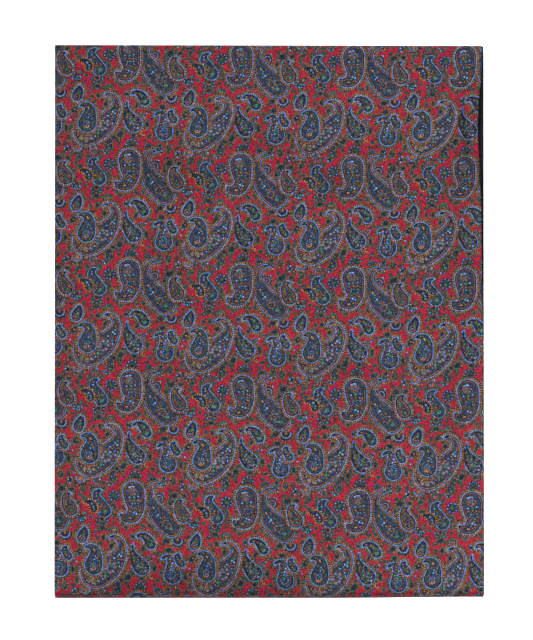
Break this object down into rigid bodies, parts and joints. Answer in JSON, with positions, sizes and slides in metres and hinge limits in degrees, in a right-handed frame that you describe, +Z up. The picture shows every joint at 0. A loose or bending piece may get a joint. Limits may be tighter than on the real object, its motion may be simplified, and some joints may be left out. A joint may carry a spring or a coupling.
{
  "type": "folded two-sided silk scarf",
  "caption": "Long printed silk scarf with a plain dark backing, folded in half twice and laid flat.",
  "frame": {"origin": "middle of the flat underside, on the surface the scarf lies on", "axes": "+X towards the side where the dark backing shows, +Y along the folded length away from the front fold, +Z up"},
  "size_m": [0.32, 0.4125, 0.011],
  "materials": {
    "printed_silk": "fine silk twill printed all over with a small paisley on madder red, soft low sheen",
    "dark_backing": "plain weave, very dark navy near black, matt",
    "seam_thread": "fine dark red sewing thread, low sheen"
  },
  "bodies": {
    "root": {"silk_top_stretch": "printed_silk", "backing_top_stretch": "dark_backing", "backing_second_stretch": "dark_backing", "hidden_layers": "printed_silk", "backing_under_stretch": "dark_backing", "silk_under_stretch": "printed_silk"}
  },
  "joints": []
}
